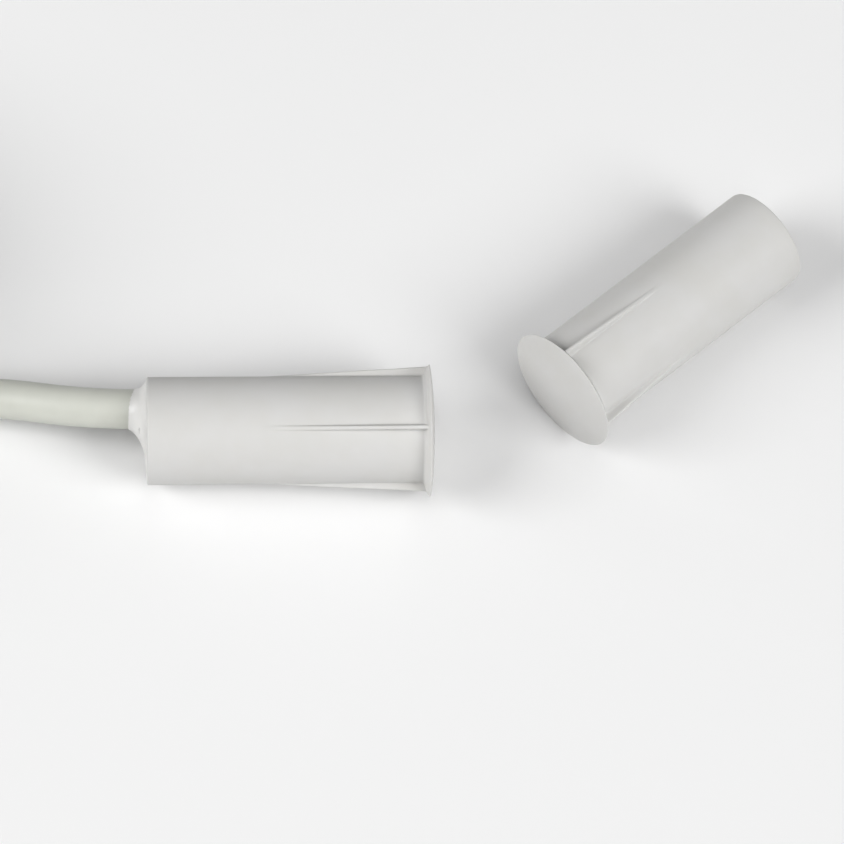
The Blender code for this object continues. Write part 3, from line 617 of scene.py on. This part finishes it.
def housing(name, m, r_rear, r_seat, r_bore, shift, dome, rim_in, profile, seed):
    rng = np.random.default_rng(seed)
    ribs = [math.pi / 2 * k for k in range(4)]
    th = []
    for c in ribs:
        for o in RIB_T + [0.50, 0.60]:
            for sgn in ((1,) if o == 0.0 else (1, -1)):
                th.append((c + sgn * o / 4.72) % (2 * math.pi))
    for k in range(200):
        t = 2 * math.pi * k / 200
        d = min(abs((t - c + math.pi) % (2 * math.pi) - math.pi) for c in ribs)
        if d * 4.72 > 0.67:
            th.append(t)
    th = np.array(sorted(th))
    n = len(th)
    ct, st = np.cos(th), np.sin(th)
    # signed arc distance to the nearest rib, and which rib
    d_all = np.array([[(t - c + math.pi) % (2 * math.pi) - math.pi for c in ribs] for t in th]) * 4.72
    which = np.abs(d_all).argmin(1)
    arc = np.abs(d_all[np.arange(n), which])
    shape = np.interp(arc, RIB_T, RIB_F, right=0.0)

    # small unevenness of each rib along its length
    waves = [(rng.uniform(0, 6.28, 4), rng.uniform(0.8, 1.25, 4)) for _ in ribs]

    def uneven(k, s):
        ph, fr = waves[k]
        return 1.0 + 0.012 * math.sin(s * 1.6 * fr[0] + ph[0]) + 0.008 * math.sin(s * 3.4 * fr[1] + ph[1])

    rings = []

    def ring(xy, z):
        z = np.broadcast_to(np.asarray(z, float), (n,))
        rings.append(np.stack([xy[:, 0], xy[:, 1], z], 1))

    def round_ring(r, z):
        ring(np.stack([r * ct, r * st], 1), z)

    # bore, from its closed end to the rear
    pole0 = (0.0, 0.0, BORE_DEPTH)
    for r, z in ((r_bore * 0.5, BORE_DEPTH), (r_bore - 0.4, BORE_DEPTH), (r_bore - 0.12, BORE_DEPTH - 0.12),
                 (r_bore, BORE_DEPTH - 0.4), (r_bore, BORE_DEPTH * 0.5), (r_bore, 0.9), (r_bore, 0.35),
                 (r_bore + 0.02, 0.12), (r_bore + 0.07, 0.03), (r_bore + 0.14, 0.0),
                 (0.5 * (r_bore + 0.14 + rim_in), 0.0), (rim_in, 0.0)):
        round_ring(r, z)
    # rear rim and its rounded outer edge
    rr = 0.17
    for k in range(0, 7):
        t = math.radians(90.0 * k / 6)
        round_ring(r_rear - rr + rr * math.sin(t), rr - rr * math.cos(t))
    # barrel with ribs
    zs = np.concatenate([np.linspace(0.5, 9.5, 8), np.linspace(10.0, SEAT_Z - 0.52, 64)])

    def column(z):
        s = SEAT_Z - z
        base = r_rear + (r_seat - r_rear) * z / SEAT_Z
        h = rib_height(s, profile)
        hk = np.array([h * uneven(k, s) for k in range(4)])
        return base + hk[which] * shape

    for z in zs:
        round_ring(column(z), z)
    rc = column(SEAT_Z - 0.11)
    top = SEAT_Z + np.array([z_under(v) for v in rc])
    for dz, dr in ((0.26, 0.0), (0.18, 0.004), (0.12, 0.014), (0.07, 0.034), (0.035, 0.068), (0.012, 0.11)):
        round_ring(rc + dr * (1.0 - 0.7 * shape), top - dz)
    rc = rc + 0.16 * (1.0 - 0.7 * shape)
    c = np.array([-shift, 0.0])
    R1 = 5.62
    p0 = np.stack([rc * ct, rc * st], 1)
    p1 = np.stack([R1 * ct, R1 * st], 1) + c
    for s in (0.0, 0.15, 0.3, 0.45, 0.6, 0.72, 0.84, 1.0):
        p = (1 - s) * p0 + s * p1
        z = np.array([z_under(v) for v in np.linalg.norm(p - c, axis=1)])
        ring(p, SEAT_Z + z)
    for r, z in ((5.70, z_under(5.70)), (5.76, z_under(5.76)), (5.805, 0.288), (5.835, 0.325)):
        ring(np.stack([r * ct, r * st], 1) + c, SEAT_Z + z)
    # the rim rounds over into the dome without an edge
    rise, power = dome
    for r in (5.850, 5.846, 5.835, 5.815, 5.785, 5.74, 5.68, 5.60, 5.50, 5.36, 5.2, 5.0, 4.75, 4.4, 4.0,
              3.5, 2.9, 2.3, 1.7, 1.1, 0.6, 0.25):
        z = RIM_Z + rise * (1.0 - (r / FLANGE_R) ** 2) ** power
        ring(np.stack([r * ct, r * st], 1) + c, SEAT_Z + z)
    pole1 = (c[0], c[1], SEAT_Z + RIM_Z + rise)
    local = np.vstack([[pole0], *rings, [pole1]])
    verts = local @ m[:3, :3].T + m[:3, 3]
    faces = rings_to_faces(len(rings), n, True, True)
    return mesh_piece(name, verts, faces, 85)


sw_body = housing("switch_body", SW, SW_R_REAR, SW_R_SEAT, SW_BORE_R, SW_FLANGE_SHIFT, SW_DOME, 4.52,
                  SW_RIBS, 3)
mg_body = housing("magnet_body", MG, MG_R_REAR, MG_R_SEAT, MG_BORE_R, 0.0, MG_DOME, 4.40,
                  MG_RIBS, 8)
for ob, node in ((sw_body, "switch_housing"), (mg_body, "magnet_housing")):
    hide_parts(node)
    set_finish(ob, "white_abs")
    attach(ob, "root")


# ------------------------------------------------------------------ the resin
def loft(name, m, sections, n=96):
    """Closed loft through circles (centre x, radius, height)."""
    t = 2 * np.pi * np.arange(n) / n
    rings = [np.stack([c + r * np.cos(t), r * np.sin(t), np.full(n, z)], 1) for c, r, z in sections]
    c0, _, z0 = sections[0]
    c1, _, z1 = sections[-1]
    local = np.vstack([[(c0, 0, z0)], *rings, [(c1, 0, z1)]])
    verts = local @ m[:3, :3].T + m[:3, 3]
    return mesh_piece(name, verts, rings_to_faces(len(rings), n, True, True), 50)


KNOTS = [(-0.005, 0.03, 4.50), (-0.03, 0.05, 4.45), (-0.06, 0.12, 4.30), (-0.09, 0.24, 4.10), (-0.12, 0.40, 3.90),
         (-0.16, 0.83, 3.42), (-0.29, 1.19, 2.92), (-0.49, 1.36, 2.56), (-0.65, 1.50, 2.34), (-0.80, 1.60, 2.20),
         (-0.96, 1.69, 2.065), (-1.10, 1.755, 1.965), (-1.25, 1.815, 1.885), (-1.42, 1.875, 1.815), (-1.58, 1.92, 1.765)]
kz = np.array([k[0] for k in KNOTS])
path = smooth_path([(k[0] * 3.0, k[1], k[2]) for k in KNOTS], 44)
sections = [(0.0, 2.0, BORE_DEPTH - 0.6), (0.0, SW_BORE_R + 0.015, BORE_DEPTH - 0.8), (0.0, SW_BORE_R + 0.015, 12.0),
            (0.0, SW_BORE_R + 0.015, 0.4), (0.0, SW_BORE_R + 0.02, 0.06), (0.01, 4.40, 0.012), (0.02, 4.48, 0.008)]
sections += [(c, r, z / 3.0) for z, c, r in path]
sections += [(1.93, 1.72, -1.62), (1.95, 1.60, -1.60)]
sw_resin = loft("switch_resin", SW, sections)
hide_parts("switch_potting")
set_finish(sw_resin, "potting_resin")
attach(sw_resin, "root")

sections = [(0.0, 2.0, BORE_DEPTH - 0.6), (0.0, MG_BORE_R + 0.015, BORE_DEPTH - 0.8), (0.0, MG_BORE_R + 0.015, 12.0),
            (0.0, MG_BORE_R + 0.015, 0.6), (0.0, MG_BORE_R + 0.01, 0.26), (0.0, MG_BORE_R - 0.06, 0.30),
            (0.0, MG_BORE_R - 0.22, 0.38), (0.02, 3.5, 0.47), (0.04, 3.1, 0.53), (0.06, 2.6, 0.57), (0.06, 2.0, 0.60),
            (0.04, 1.3, 0.615), (0.02, 0.6, 0.62)]
mg_resin = loft("magnet_resin", MG, sections)
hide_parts("magnet_potting")
set_finish(mg_resin, "potting_resin")
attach(mg_resin, "root")


# ------------------------------------------------------------------ floor and light
floor_me = bpy.data.meshes.new("floor")
bm = bmesh.new()
bmesh.ops.create_grid(bm, x_segments=8, y_segments=8, size=3.0)
bm.to_mesh(floor_me)
bm.free()
floor = bpy.data.objects.new("floor", floor_me)
scene.collection.objects.link(floor)
floor_mat = finish_material("floor_white", (0.84, 0.84, 0.84), 0.7, cloud=0.004, cloud_mm=300.0, grain_mm=4.0,
                            bump=0.02, spec=0.2)
floor.data.materials.append(floor_mat)
floor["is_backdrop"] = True

world_data = bpy.data.worlds.new("studio")
scene.world = world_data
world_data.use_nodes = True
bg = world_data.node_tree.nodes["Background"]
bg.inputs["Color"].default_value = (1.0, 1.0, 1.0, 1.0)
bg.inputs["Strength"].default_value = 0.03


def area(name, direction, distance, size, power):
    li = bpy.data.lights.new(name, "AREA")
    li.shape = "DISK"
    li.size = size
    li.energy = power
    ob = bpy.data.objects.new(name, li)
    scene.collection.objects.link(ob)
    d = Vector(direction).normalized()
    ob.location = d * distance
    ob.rotation_mode = "QUATERNION"
    ob.rotation_quaternion = d.to_track_quat("Z", "Y")
    return ob


area("key", c_back + 0.24 * c_right - 0.04 * c_up, 1.5, 1.1, 4.3)
area("top_box", 0.89 * c_back + 0.07 * c_right + 0.45 * c_up, 1.4, 0.9, 2.3)
area("left_box", 0.70 * c_back - 0.70 * c_right + 0.10 * c_up, 1.4, 0.85, 10.5)
area("right_box", 0.70 * c_back + 0.70 * c_right - 0.10 * c_up, 1.4, 0.85, 11.5)
area("front_box", 0.70 * c_back + 0.55 * c_right - 0.45 * c_up, 1.4, 0.9, 1.0)
area("side_box", 0.40 * c_back - 0.92 * c_right + 0.25 * c_up, 1.4, 0.9, 4.2)

scene.view_settings.view_transform = "Standard"
scene.view_settings.look = "None"
scene.view_settings.exposure = 0.0
scene.view_settings.gamma = 1.0

low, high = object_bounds()
